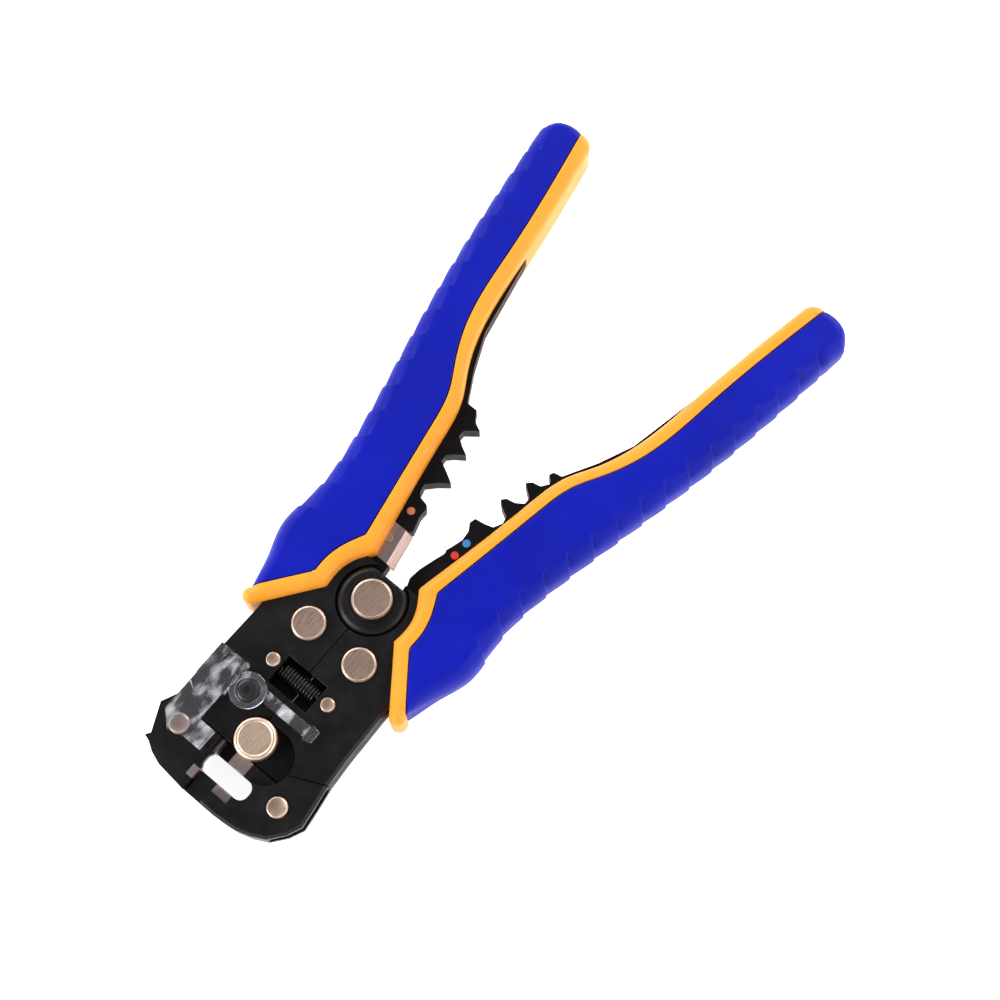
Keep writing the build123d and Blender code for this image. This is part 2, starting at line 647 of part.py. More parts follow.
with BuildPart() as wire_stop:
    block(*STOP_BLOCK)
    extrude(outline_face(STOP_ARM, RIGHT, STOP_OVER_RIVETS), amount=STOP_ARM_THICK)
    block(*STOP_FOOT)
    pillar(STOP_KNOB_R, STOP_SCREW, STOP_LOW, STOP_KNOB_TOP)
    block(*STOP_RAIL)
    extrude(outline_face(STOP_HOOK, RIGHT, STOP_LOW), amount=STOP_HOOK_THICK)
    pillar(STOP_SCREW_R, STOP_SCREW, STOP_LOW, STOP_KNOB_TOP, Mode.SUBTRACT)
    block(*STOP_CLIP, (STOP_LOW, STOP_CLIP_TOP), Mode.SUBTRACT)

with BuildPart() as wire_stop_clip:
    block(*STOP_CLIP, (STOP_LOW, STOP_CLIP_TOP))

with BuildPart() as wire_stop_screw:
    pillar(STOP_SCREW_R, STOP_SCREW, STOP_SCREW_LOW, STOP_KNOB_TOP)
    pillar(STOP_SCREW_HEAD_R, STOP_SCREW, STOP_KNOB_TOP, STOP_KNOB_TOP + STOP_SCREW_HEAD)

with BuildPart() as wire_stop_nut:
    pillar(STOP_NUT_R, STOP_SCREW, STOP_SCREW_LOW, STOP_NUT_TOP)
    pillar(STOP_SCREW_R, STOP_SCREW, STOP_SCREW_LOW, STOP_NUT_TOP, Mode.SUBTRACT)

# ---------------------------------------------------------------- grips


def band_edge(side):
    """Line between the hard inner band and the soft cover, from the tail to the front."""
    return [
        Spline(*on_side(BAND_EDGE, side)),
        Spline(*on_side(BAND_HUB, side)),
        Line(*on_side([BAND_HUB[-1], GRIP_OUTER[-1]], side)),
    ]


def cover_outline(side):
    """Face of the soft cover, in the plane that the grip lies on."""
    with BuildSketch(Plane.XY) as profile:
        with BuildLine():
            add(band_edge(side))
            Spline(*on_side(GRIP_OUTER, side))
            ThreePointArc(*on_side([BAND_EDGE[0], COVER_TAIL, GRIP_OUTER[0]], side))
        make_face()
    return profile.sketch


def band_outline(side):
    """Face of the hard inner band, in the plane that the grip lies on."""
    with BuildSketch(Plane.XY) as profile:
        with BuildLine():
            add(band_edge(side))
            Spline(*on_side(GRIP_INNER, side))
            Line(*on_side([GRIP_INNER[-1], GRIP_HUB[0]], side))
            Spline(*on_side(GRIP_HUB[:-1], side))
            Line(*on_side(GRIP_HUB[-2:], side))
            ThreePointArc(*on_side([GRIP_HUB[-1], GRIP_FRONT, GRIP_OUTER[-1]], side))
            ThreePointArc(*on_side([BAND_EDGE[0], BAND_TAIL, GRIP_INNER[0]], side))
        make_face()
    return profile.sketch


def cut_steelwork(steelwork):
    """Take the room of the plates and the blade out of the grip being built."""
    for piece in steelwork:
        add(piece.part, mode=Mode.SUBTRACT)


def grip_frame(side, steelwork):
    """Hard moulding: the band along the inner edge, and the web inside the cover."""
    with BuildPart() as frame:
        extrude(band_outline(side), amount=GRIP_DEPTH)
        extrude(outline_face(WEB, side, BACK_LOW), amount=FRONT_TOP - BACK_LOW)
        cut_steelwork(steelwork)
    return frame


def grip_cover(side, steelwork):
    """Soft cover with its long outer edge rounded, over and under the web."""
    with BuildPart() as cover:
        extrude(cover_outline(side), amount=GRIP_DEPTH)
        outer_edges = cover.edges().filter_by(GeomType.BSPLINE).sort_by(SortBy.LENGTH)[-2:]
        fillet(outer_edges, GRIP_EDGE_R)
        extrude(outline_face(WEB, side, BACK_LOW), amount=FRONT_TOP - BACK_LOW, mode=Mode.SUBTRACT)
        cut_steelwork(steelwork)
    return cover


left_steel = [left_core_plate, left_front_plate, left_back_plate, cutter_blade]
right_steel = [right_core_plate, right_front_plate, right_back_plate]
left_grip_frame = grip_frame(LEFT, left_steel)
right_grip_frame = grip_frame(RIGHT, right_steel)
left_grip_cover = grip_cover(LEFT, left_steel)
right_grip_cover = grip_cover(RIGHT, right_steel)

# ---------------------------------------------------------------- files

PIECES = {
    "left_core_plate": left_core_plate,
    "right_core_plate": right_core_plate,
    "left_front_plate": left_front_plate,
    "right_front_plate": right_front_plate,
    "left_back_plate": left_back_plate,
    "right_back_plate": right_back_plate,
    "left_nose_jaw": left_nose_jaw,
    "right_nose_jaw": right_nose_jaw,
    "blade_jaw": blade_jaw,
    "gripper_jaw": gripper_jaw,
    "gripper_pad_moving": gripper_pad_moving,
    "gripper_pad_fixed": gripper_pad_fixed,
    "stripping_blade_moving": stripping_blade_moving,
    "stripping_blade_fixed": stripping_blade_fixed,
    "main_pivot": main_pivot,
    "pivot_collar_front": pivot_collar_front,
    "pivot_collar_back": pivot_collar_back,
    "left_link_rivet": left_link_rivet,
    "right_link_rivet": right_link_rivet,
    "left_nose_rivet": left_nose_rivet,
    "right_nose_rivet": right_nose_rivet,
    "left_spring_pin": left_spring_pin,
    "right_spring_pin": right_spring_pin,
    "cutter_rivet": cutter_rivet,
    "head_spring": head_spring,
    "blade_jaw_spring": blade_jaw_spring,
    "gripper_jaw_spring": gripper_jaw_spring,
    "tension_knob": tension_knob,
    "cutter_blade": cutter_blade,
    "wire_stop": wire_stop,
    "wire_stop_clip": wire_stop_clip,
    "wire_stop_screw": wire_stop_screw,
    "wire_stop_nut": wire_stop_nut,
    "left_grip_frame": left_grip_frame,
    "right_grip_frame": right_grip_frame,
    "left_grip_cover": left_grip_cover,
    "right_grip_cover": right_grip_cover,
}

for mark_name, place in MARKS.items():
    with BuildPart() as mark:
        pillar(MARK_R, place, CORE_TOP - MARK_SINK, CORE_TOP + MARK_RISE)
    PIECES[mark_name] = mark

for piece_name, piece in PIECES.items():
    piece.part.label = piece_name
    export_step(piece.part, f"parts/{piece_name}.step")
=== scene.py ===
"""Looks of the self-adjusting wire stripper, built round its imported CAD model.

Lengths are written in millimetres in the tool's frame, and become metres where a mesh is made.
Outlines are points (x, distance from the tool's axis), which serve the left and the right side.
"""

import math

import bmesh
import bpy
import numpy as np
from mathutils import Matrix, Vector


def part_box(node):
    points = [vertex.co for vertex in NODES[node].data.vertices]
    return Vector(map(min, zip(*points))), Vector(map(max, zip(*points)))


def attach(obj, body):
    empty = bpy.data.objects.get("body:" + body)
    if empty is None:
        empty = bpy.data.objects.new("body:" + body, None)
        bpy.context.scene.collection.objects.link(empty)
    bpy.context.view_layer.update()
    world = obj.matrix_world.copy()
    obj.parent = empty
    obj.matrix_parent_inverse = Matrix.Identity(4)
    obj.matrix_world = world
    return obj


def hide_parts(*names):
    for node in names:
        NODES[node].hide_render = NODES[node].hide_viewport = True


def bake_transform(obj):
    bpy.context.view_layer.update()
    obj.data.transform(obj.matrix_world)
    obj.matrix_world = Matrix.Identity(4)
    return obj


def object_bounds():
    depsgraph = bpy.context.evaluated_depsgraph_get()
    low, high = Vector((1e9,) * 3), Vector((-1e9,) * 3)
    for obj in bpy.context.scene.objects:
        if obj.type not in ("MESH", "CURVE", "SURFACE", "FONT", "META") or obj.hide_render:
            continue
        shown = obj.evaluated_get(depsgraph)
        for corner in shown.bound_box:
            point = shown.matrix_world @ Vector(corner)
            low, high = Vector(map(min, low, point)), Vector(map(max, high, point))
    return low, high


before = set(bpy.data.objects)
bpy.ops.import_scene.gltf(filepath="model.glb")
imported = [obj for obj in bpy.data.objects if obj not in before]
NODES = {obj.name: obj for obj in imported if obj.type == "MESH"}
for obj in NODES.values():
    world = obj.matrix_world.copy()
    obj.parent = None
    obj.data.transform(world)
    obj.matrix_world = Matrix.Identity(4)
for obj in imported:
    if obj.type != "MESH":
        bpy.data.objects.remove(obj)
cad_low, cad_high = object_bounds()

MM = 0.001
LEFT = -1
RIGHT = 1
SIDE_NAME = {LEFT: "left", RIGHT: "right"}
LEVER = {LEFT: "left_lever", RIGHT: "right_lever"}

# Heights of the flat layers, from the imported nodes.
GRIP_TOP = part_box("left_grip_cover")[1].z / MM
GRIP_MID = GRIP_TOP / 2
FACE_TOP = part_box("left_front_plate")[1].z / MM
BACK_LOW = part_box("left_back_plate")[0].z / MM


# ---------------------------------------------------------------- camera, floor and light

LENS_MM = 61.2
SENSOR_MM = 36.0
CAMERA_PLACE = Vector((60.8, 93.7, 446.3)) * MM
CAMERA_TURN = math.radians(230.449)
CAMERA_TILT = math.radians(17.156)


def add_camera():
    """A viewing angle high above the face, leaning back a little."""
    data = bpy.data.cameras.new("camera")
    data.lens = LENS_MM
    data.sensor_width = SENSOR_MM
    data.clip_start = 0.01
    camera = bpy.data.objects.new("camera", data)
    bpy.context.scene.collection.objects.link(camera)
    turn_sin = math.sin(CAMERA_TURN)
    turn_cos = math.cos(CAMERA_TURN)
    tilt_sin = math.sin(CAMERA_TILT)
    tilt_cos = math.cos(CAMERA_TILT)
    right = Vector((turn_cos, -turn_sin, 0))
    up = Vector((turn_sin * tilt_cos, turn_cos * tilt_cos, tilt_sin))
    back = right.cross(up)
    turn = Matrix((right, up, back)).transposed().to_4x4()
    camera.matrix_world = Matrix.Translation(CAMERA_PLACE) @ turn
    bpy.context.scene.camera = camera


FLOOR_REACH = 800 * MM
FLOOR_GAP = 0.2 * MM


def add_floor(material):
    """Plain pale floor, just under the tool."""
    mesh = bpy.data.meshes.new("floor")
    corners = [
        (-FLOOR_REACH, -FLOOR_REACH, 0), (FLOOR_REACH, -FLOOR_REACH, 0),
        (FLOOR_REACH, FLOOR_REACH, 0), (-FLOOR_REACH, FLOOR_REACH, 0),
    ]
    mesh.from_pydata(corners, [], [(0, 1, 2, 3)])
    floor = bpy.data.objects.new("floor", mesh)
    bpy.context.scene.collection.objects.link(floor)
    floor.location.z = cad_low.z - FLOOR_GAP
    mesh.materials.append(material)


TOOL_MIDDLE = Vector((-30, 0, 0)) * MM


def add_area_light(name, place, size, power):
    """Soft box aimed at the middle of the tool."""
    data = bpy.data.lights.new(name, "AREA")
    data.shape = "RECTANGLE"
    data.size = size[0]
    data.size_y = size[1]
    data.energy = power
    light = bpy.data.objects.new(name, data)
    bpy.context.scene.collection.objects.link(light)
    light.location = place
    aim = TOOL_MIDDLE - Vector(place)
    light.rotation_euler = aim.to_track_quat("-Z", "Y").to_euler()


# Soft boxes stand low round the tool, between white walls and under a dim ceiling, so that flat
# black faces stay dark and their edges catch the light. Each has its place, its size and its power.
WALLS = (1.0, 1.0, 1.0, 1)
CEILING = (0.16, 0.16, 0.16, 1)
SKY_FADE = (0.12, 0.95)
SOFT_BOXES = {
    "nose_box": ((0.62, -0.30, 0.42), (0.4, 0.3), 5.0),
    "left_box": ((-0.20, -0.66, 0.42), (0.6, 0.3), 2.4),
    "right_box": ((-0.25, 0.70, 0.50), (0.6, 0.3), 2.6),
    "tail_box": ((-0.75, 0.05, 0.42), (0.4, 0.3), 3.4),
}


def add_studio():
    world = bpy.data.worlds.new("studio")
    world.use_nodes = True
    tree = world.node_tree
    place = add_node(tree, "ShaderNodeTexCoord")
    height = add_node(tree, "ShaderNodeSeparateXYZ")
    tree.links.new(place.outputs["Generated"], height.inputs["Vector"])
    sky = ramp(tree, height.outputs["Z"], WALLS, CEILING, SKY_FADE)
    tree.links.new(sky, tree.nodes["Background"].inputs["Color"])
    bpy.context.scene.world = world
    for name, (place, size, power) in SOFT_BOXES.items():
        add_area_light(name, place, size, power)
    # Colours come out as the materials state them.
    bpy.context.scene.view_settings.view_transform = "Standard"


# ---------------------------------------------------------------- materials


def add_node(tree, kind, **settings):
    node = tree.nodes.new(kind)
    for name, value in settings.items():
        setattr(node, name, value)
    return node


def noise(tree, scale, detail=3.0, stretch=(1, 1, 1)):
    """Noise in object space; the scale is in features per metre."""
    place = add_node(tree, "ShaderNodeTexCoord")
    mapping = add_node(tree, "ShaderNodeMapping")
    mapping.inputs["Scale"].default_value = stretch
    tree.links.new(place.outputs["Object"], mapping.inputs["Vector"])
    texture = add_node(tree, "ShaderNodeTexNoise")
    texture.inputs["Scale"].default_value = scale
    texture.inputs["Detail"].default_value = detail
    tree.links.new(mapping.outputs["Vector"], texture.inputs["Vector"])
    return texture.outputs["Fac"]


def ramp(tree, value, start, end, stops=(0.35, 0.65)):
    """Colour that runs from start to end as the value rises between the two stops."""
    node = add_node(tree, "ShaderNodeValToRGB")
    node.color_ramp.elements[0].position = stops[0]
    node.color_ramp.elements[0].color = start
    node.color_ramp.elements[1].position = stops[1]
    node.color_ramp.elements[1].color = end
    tree.links.new(value, node.inputs["Fac"])
    return node.outputs["Color"]


NOISE_RANGE = (0.3, 0.7)


def span(tree, value, low, high, source=NOISE_RANGE):
    """The value, from its source range, spread over low to high."""
    node = add_node(tree, "ShaderNodeMapRange")
    node.inputs["From Min"].default_value = source[0]
    node.inputs["From Max"].default_value = source[1]
    node.inputs["To Min"].default_value = low
    node.inputs["To Max"].default_value = high
    tree.links.new(value, node.inputs["Value"])
    return node.outputs["Result"]


def add_bump(tree, shader, height, depth):
    node = add_node(tree, "ShaderNodeBump")
    node.inputs["Distance"].default_value = depth
    node.inputs["Strength"].default_value = 1.0
    tree.links.new(height, node.inputs["Height"])
    tree.links.new(node.outputs["Normal"], shader.inputs["Normal"])


def shade(colour, factor):
    return (*(min(1.0, part * factor) for part in colour), 1.0)


def surface(name, colour, spread, rough, patch, grain, grain_depth, stretch=(1, 1, 1), **sockets):
    """Material whose colour and roughness drift over patches, with a finer grain as its bump.

    spread is how far the colour drifts, rough the range of roughness, patch and grain are in
    features per metre, and stretch draws both out along an axis, as brushing does.
    """
    material = bpy.data.materials.new(name)
    material.use_nodes = True
    tree = material.node_tree
    shader = tree.nodes["Principled BSDF"]
    drift = noise(tree, patch, stretch=stretch)
    paint = ramp(tree, drift, shade(colour, 1 - spread), shade(colour, 1 + spread))
    tree.links.new(paint, shader.inputs["Base Color"])
    tree.links.new(span(tree, noise(tree, patch * 2.3, stretch=stretch), *rough), shader.inputs["Roughness"])
    add_bump(tree, shader, noise(tree, grain, stretch=stretch), grain_depth)
    for socket, value in sockets.items():
        shader.inputs[socket.replace("_", " ")].default_value = value
    return material


CLOUD_SCALE = 130
CLOUD_DETAIL = 6.0
CLOUD_STRETCH = (1, 2.0, 1)
CLOUD_RANGE = (0.53, 0.68)
CLEAR = 0.975
CLOUDY = 0.50


def frosted(material):
    """Clear plastic with cloudy patches, as a scuffed moulding has."""
    tree = material.node_tree
    cloud = noise(tree, CLOUD_SCALE, CLOUD_DETAIL, CLOUD_STRETCH)
    shader = tree.nodes["Principled BSDF"]
    clear = span(tree, cloud, CLEAR, CLOUDY, CLOUD_RANGE)
    tree.links.new(clear, shader.inputs["Transmission Weight"])
    return material


# Brushed metal: its grain is drawn out along X.
BRUSHED = (1, 12, 1)

MATERIALS = {
    "blue_rubber": surface(
        "blue_rubber", (0.003, 0.008, 0.34), 0.08, (0.42, 0.54), 55, 2600, 0.00003, Specular_IOR_Level=0.14
    ),
    "yellow_plastic": surface(
        "yellow_plastic", (0.95, 0.35, 0.03), 0.04, (0.34, 0.46), 60, 1500, 0.00002, Specular_IOR_Level=0.3
    ),
    "black_steel": surface(
        "black_steel", (0.006, 0.0055, 0.006), 0.25, (0.30, 0.46), 90, 2400, 0.00003, Specular_IOR_Level=0.3
    ),
    "core_steel": surface(
        "core_steel", (0.004, 0.0036, 0.004), 0.25, (0.40, 0.55), 90, 2000, 0.00003, Specular_IOR_Level=0.12
    ),
    "rivet_steel": surface(
        "rivet_steel", (0.62, 0.45, 0.36), 0.07, (0.34, 0.46), 160, 900, 0.00001, BRUSHED, Metallic=1.0
    ),
    "blade_steel": surface(
        "blade_steel", (0.52, 0.43, 0.42), 0.05, (0.32, 0.44), 160, 1200, 0.00001, BRUSHED, Metallic=1.0
    ),
    "spring_steel": surface(
        "spring_steel", (0.035, 0.033, 0.036), 0.2, (0.26, 0.40), 200, 2500, 0.00001, Metallic=0.8
    ),
    "knob_brass": surface(
        "knob_brass", (0.90, 0.68, 0.53), 0.05, (0.36, 0.48), 140, 900, 0.00001, BRUSHED, Metallic=1.0
    ),
    "screw_black": surface(
        "screw_black", (0.016, 0.015, 0.018), 0.2, (0.25, 0.40), 200, 2200, 0.00001, Specular_IOR_Level=0.6
    ),
    "clear_plastic": frosted(surface(
        "clear_plastic", (0.90, 0.89, 0.94), 0.03, (0.06, 0.22), 90, 450, 0.00003, IOR=1.49,
    )),
    "mark_orange": surface("mark_orange", (0.55, 0.19, 0.10), 0.08, (0.40, 0.55), 300, 2000, 0.00002),
    "mark_red": surface("mark_red", (0.55, 0.035, 0.02), 0.08, (0.40, 0.55), 300, 2000, 0.00002),
    "mark_blue": surface("mark_blue", (0.03, 0.22, 0.60), 0.08, (0.40, 0.55), 300, 2000, 0.00002),
}

# The floor glows a little, as a light table does, which opens up the shadows.
FLOOR_WHITE = surface(
    "floor_white", (0.92, 0.92, 0.92), 0.005, (0.85, 0.95), 3, 60, 0.00001,
    Emission_Color=(1, 1, 1, 1), Emission_Strength=0.85,
)


# ---------------------------------------------------------------- making pieces

SMOOTH_DEG = 35
WELD = 1e-6
CAD_WELD = 2e-6


def new_piece(name, slot, points, faces, smooth_deg=SMOOTH_DEG):
    """Mesh piece from points in millimetres, smooth apart from edges sharper than the angle."""
    mesh = bpy.data.meshes.new(name)
    mesh.from_pydata([(x * MM, y * MM, z * MM) for x, y, z in points], [], faces)
    piece = bpy.data.objects.new(name, mesh)
    bpy.context.scene.collection.objects.link(piece)
    finish_piece(piece, slot, smooth_deg)
    return piece


def finish_piece(piece, slot, smooth_deg=SMOOTH_DEG):
    """Face the mesh outwards, shade it and give it its material."""
    mesh = piece.data
    work = bmesh.new()
    work.from_mesh(mesh)
    bmesh.ops.remove_doubles(work, verts=work.verts, dist=WELD)
    bmesh.ops.recalc_face_normals(work, faces=work.faces)
    for face in work.faces:
        face.smooth = True
    for edge in work.edges:
        if len(edge.link_faces) == 2:
            edge.smooth = edge.calc_face_angle(0) < math.radians(smooth_deg)
    work.to_mesh(mesh)
    work.free()
    mesh.materials.clear()
    mesh.materials.append(MATERIALS[slot])
    # Broad faces keep their own normal, so they look flat between rounded edges.
    flatten = piece.modifiers.new("flat_faces", "WEIGHTED_NORMAL")
    flatten.weight = 100
    flatten.keep_sharp = True


def stand_in(piece, body, *nodes):
    """The piece moves with the body, and is shown in place of the CAD nodes."""
    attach(piece, body)
    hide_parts(*nodes)


TURNS = 96


def lathe(name, slot, profile, centre):
    """Closed round piece about a vertical axis. The profile is (radius, z), from bottom to top.

    A profile that starts and ends on the axis is solid; any other is a ring, closed on itself.
    """
    points = []
    rings = []
    for radius, z in profile:
        if radius == 0:
            rings.append([len(points)])
            points.append((centre[0], centre[1], z))
            continue
        rings.append(list(range(len(points), len(points) + TURNS)))
        for step in range(TURNS):
            angle = 2 * math.pi * step / TURNS
            points.append((centre[0] + radius * math.cos(angle), centre[1] + radius * math.sin(angle), z))
    pairs = list(zip(rings, rings[1:]))
    if profile[0][0] != 0:
        pairs.append((rings[-1], rings[0]))
    faces = []
    for lower, upper in pairs:
        for step in range(TURNS):
            ahead = (step + 1) % TURNS
            corners = [lower[step % len(lower)], lower[ahead % len(lower)],
                       upper[ahead % len(upper)], upper[step % len(upper)]]
            faces.append(tuple(dict.fromkeys(corners)))
    return new_piece(name, slot, points, faces)


# ---------------------------------------------------------------- steel plates with broken edges

PLATE = 2.0
PLATE_EDGE = 0.18
BEVEL_SMOOTH_DEG = 40
FLAT_ANGLE = math.radians(1.5)
CORNER_ANGLE = math.radians(28)


def bevelled(node, body, slot, width=PLATE_EDGE):
    """Copy of a CAD node with its sharp edges broken, as stamped and painted steel has them."""
    piece = bpy.data.objects.new(f"{node}_finished", NODES[node].data.copy())
    bpy.context.scene.collection.objects.link(piece)
    mesh = piece.data
    work = bmesh.new()
    work.from_mesh(mesh)
    bmesh.ops.remove_doubles(work, verts=work.verts, dist=CAD_WELD)
    bmesh.ops.dissolve_limit(
        work, angle_limit=FLAT_ANGLE, verts=work.verts, edges=work.edges, use_dissolve_boundaries=False
    )
    sharp = [
        edge for edge in work.edges
        if len(edge.link_faces) == 2 and edge.calc_face_angle(0) > CORNER_ANGLE
    ]
    bmesh.ops.bevel(
        work, geom=sharp, offset=width * MM, offset_type="OFFSET", segments=2,
        profile=0.5, affect="EDGES", clamp_overlap=True,
    )
    work.to_mesh(mesh)
    work.free()
    finish_piece(piece, slot, BEVEL_SMOOTH_DEG)
    stand_in(piece, body, node)


PLATES = {
    "left_core_plate": ("left_lever", "core_steel"),
    "right_core_plate": ("right_lever", "core_steel"),
    "left_front_plate": ("left_lever", "black_steel"),
    "right_front_plate": ("right_lever", "black_steel"),
    "left_back_plate": ("left_lever", "black_steel"),
    "right_back_plate": ("right_lever", "black_steel"),
    "left_nose_jaw": ("left_lever", "black_steel"),
    "right_nose_jaw": ("right_lever", "black_steel"),
    "blade_jaw": ("blade_arm", "black_steel"),
    "gripper_jaw": ("gripper_arm", "black_steel"),
    "gripper_pad_moving": ("gripper_arm", "blade_steel"),
    "gripper_pad_fixed": ("right_lever", "blade_steel"),
    "stripping_blade_moving": ("blade_arm", "blade_steel"),
    "stripping_blade_fixed": ("left_lever", "blade_steel"),
    "cutter_blade": ("left_lever", "blade_steel"),
}
FINE_EDGES = {"gripper_pad_moving": 0.05, "gripper_pad_fixed": 0.05, "cutter_blade": 0.10}


def add_plates():
    for node, (body, slot) in PLATES.items():
        bevelled(node, body, slot, FINE_EDGES.get(node, PLATE_EDGE))


# ---------------------------------------------------------------- rivets, pins, collars and knobs
# Rims are steps of (inset from the outer radius, depth below the face). Grooves, sockets and
# bores are steps of (radius, depth below the face).

RIM_CHAMFER = 0.35
SHANK_SHARE = 0.55
HEAD_RIM = [(0, RIM_CHAMFER), (0.12, 0.16)]
HEAD_LIP = [(0, 0.05), (0.12, 0), (0.3, 0.09)]
HEAD_LIP_SHARE = 0.09
HEAD_FACE_DEPTH = 0.09

PIVOT_FOOT = [(0, 0), (4.2, 0), (4.8, 0.5)]
PIVOT_SHANK_R = 3.4

COLLAR_BORE_R = 3.45
COLLAR_RIM = [(0, 1.5), (0.35, 0.75), (1.0, 0.2), (1.9, 0)]
COLLAR_GROOVE = [(6.6, 0), (6.2, 0.3), (5.7, 0.3), (5.5, 0)]

KNOB_STEM_R = 2.0
KNOB_BOSS_R = 4.2
KNOB_BOSS_LOW = 10.1
KNOB_GAP = 0.3
KNOB_UNDERCUT = (0.2, 0.25)
KNOB_RIM = [(0, 0.9), (0.12, 0.5), (0.42, 0.14), (0.8, 0), (1.1, 0.06), (1.35, 0.3), (1.8, 0.36)]
KNOB_DISH_DEPTH = 0.26

SCREW_SHANK_R = 1.4
SCREW_HEAD_HEIGHT = 0.6
SCREW_RIM = [(0, SCREW_HEAD_HEIGHT), (0, 0.42), (0.5, 0.12), (1.3, 0)]
SCREW_SOCKET = [(0.95, 0), (0.8, 0.5), (0, 0.5)]


def node_axis(node):
    """Middle of a round node, as x and y."""
    low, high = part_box(node)
    return ((low.x + high.x) / 2 / MM, (low.y + high.y) / 2 / MM)


def rim(radius, face, steps, up=1):
    """Profile points of a rim; up is -1 where its face looks down."""
    return [(radius - inset, face - up * depth) for inset, depth in steps]


def hollow(face, steps, up=1):
    """Profile points of a groove or a socket in a face."""
    return [(radius, face - up * depth) for radius, depth in steps]


def rivet_head(radius, seat, top):
    """Profile of a flat head whose turned face stands inside a bright chamfered rim."""
    lip_radius = radius - HEAD_LIP_SHARE * radius
    outside = [(radius, seat)] + rim(radius, top, HEAD_RIM)
    return outside + rim(lip_radius, top, HEAD_LIP) + [(0, top - HEAD_FACE_DEPTH)]


def add_rivets():
    """Through rivets and spring pins, with a head on both faces of the tool."""
    for side in (LEFT, RIGHT):
        for kind in ("link_rivet", "nose_rivet", "spring_pin"):
            node = f"{SIDE_NAME[side]}_{kind}"
            low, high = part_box(node)
            radius = (high.x - low.x) / 2 / MM
            shank = radius * SHANK_SHARE
            bottom, top = low.z / MM, high.z / MM
            profile = [(0, bottom), (radius - RIM_CHAMFER, bottom), (radius, bottom + RIM_CHAMFER)]
            if kind == "spring_pin":
                # The pin is necked where the spring's eye sits.
                profile += [(radius, GRIP_MID), (shank, GRIP_MID), (shank, FACE_TOP - PLATE)]
                profile += rivet_head(radius, FACE_TOP - PLATE, top)
            else:
                profile += [(radius, BACK_LOW), (shank, BACK_LOW), (shank, FACE_TOP)]
                profile += rivet_head(radius, FACE_TOP, top)
            piece = lathe(f"{node}_turned", "rivet_steel", profile, node_axis(node))
            stand_in(piece, LEVER[side], node)


def add_main_pivot():
    low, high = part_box("main_pivot")
    top = high.z / MM
    collar_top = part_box("pivot_collar_front")[1].z / MM
    collar_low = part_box("pivot_collar_back")[0].z / MM
    head = (high.x - low.x) / 2 / MM
    profile = PIVOT_FOOT + [(PIVOT_FOOT[-1][0], collar_low)]
    profile += [(PIVOT_SHANK_R, collar_low), (PIVOT_SHANK_R, collar_top)]
    profile += rivet_head(head, collar_top, top)
    stand_in(lathe("main_pivot_turned", "rivet_steel", profile, (0, 0)), "right_lever", "main_pivot")


def add_collars():
    """Dished collars under the pivot's ends, flat on the side towards the handles."""
    for node, up in (("pivot_collar_front", 1), ("pivot_collar_back", -1)):
        low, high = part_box(node)
        seat, face = (low.z / MM, high.z / MM) if up > 0 else (high.z / MM, low.z / MM)
        radius = high.x / MM
        profile = [(COLLAR_BORE_R, seat), (radius, seat)]
        profile += rim(radius, face, COLLAR_RIM, up) + hollow(face, COLLAR_GROOVE, up)
        profile.append((COLLAR_BORE_R, face))
        piece = lathe(f"{node}_turned", "black_steel", profile, (0, 0))
        work = bmesh.new()
        work.from_mesh(piece.data)
        cut = bmesh.ops.bisect_plane(
            work, geom=work.verts[:] + work.edges[:] + work.faces[:],
            plane_co=(low.x, 0, 0), plane_no=(-1, 0, 0), clear_outer=True,
        )
        cut_edges = [item for item in cut["geom_cut"] if isinstance(item, bmesh.types.BMEdge)]
        bmesh.ops.contextual_create(work, geom=cut_edges)
        work.to_mesh(piece.data)
        work.free()
        stand_in(piece, "right_lever", node)


def add_knob():
    """Tension knob: a turned disc with a rounded rim round a shallow dish."""
    low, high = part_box("tension_knob")
    top = high.z / MM
    radius = (high.x - low.x) / 2 / MM
    bottom = low.z / MM
    under = FACE_TOP + KNOB_GAP
    profile = [
        (0, bottom), (KNOB_STEM_R, bottom), (KNOB_STEM_R, KNOB_BOSS_LOW),
        (KNOB_BOSS_R, KNOB_BOSS_LOW), (KNOB_BOSS_R, under),
        (radius - KNOB_UNDERCUT[0], under), (radius, under + KNOB_UNDERCUT[1]),
    ]
    profile += rim(radius, top, KNOB_RIM) + [(0, top - KNOB_DISH_DEPTH)]
    piece = lathe("tension_knob_turned", "knob_brass", profile, node_axis("tension_knob"))
    stand_in(piece, "knob_turn", "tension_knob")


# Plain discs: each has its body, its material and the chamfer of its edge.
DISCS = {
    "cutter_rivet": ("left_lever", "rivet_steel", 0.1),
    "wire_stop_nut": ("stop_slide", "screw_black", 0.15),
    "mark_orange": ("left_lever", "mark_orange", 0.06),
    "mark_red": ("right_lever", "mark_red", 0.06),
    "mark_blue": ("right_lever", "mark_blue", 0.06),
}


